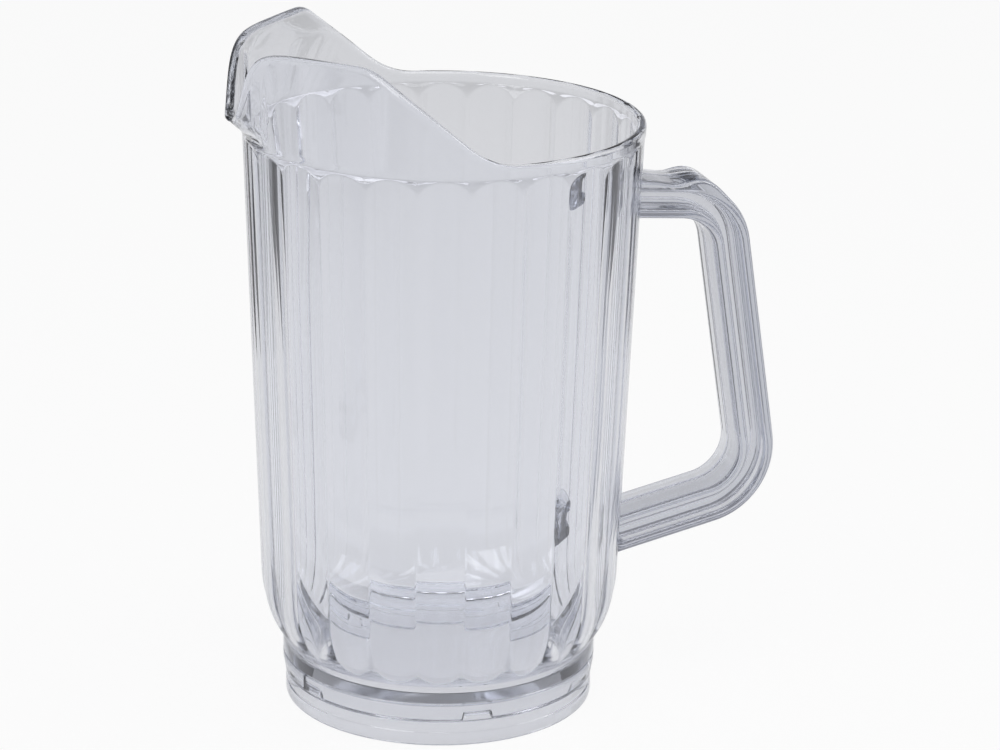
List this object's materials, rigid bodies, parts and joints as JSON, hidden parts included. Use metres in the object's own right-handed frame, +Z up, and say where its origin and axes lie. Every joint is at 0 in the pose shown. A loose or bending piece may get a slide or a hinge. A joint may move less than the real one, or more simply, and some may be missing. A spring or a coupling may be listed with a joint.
{
  "type": "pitcher",
  "caption": "Clear plastic bar pitcher with a tapering wall of convex reeds, a raised notched pouring spout, an open handle with a thumb rest and a hollow foot ring",
  "frame": {"origin": "on the body's axis, in the plane of the ring that the foot stands on", "axes": "+X from the axis towards the handle, so the spout points along -X; +Z up; +Y completes the right-handed frame"},
  "size_m": [0.1853, 0.1306, 0.2264],
  "materials": {
    "clear_plastic": "glossy, clear, very slightly grey-violet"
  },
  "bodies": {
    "root": {"body": "clear_plastic", "handle": "clear_plastic", "foot_ring": "clear_plastic"}
  },
  "joints": []
}
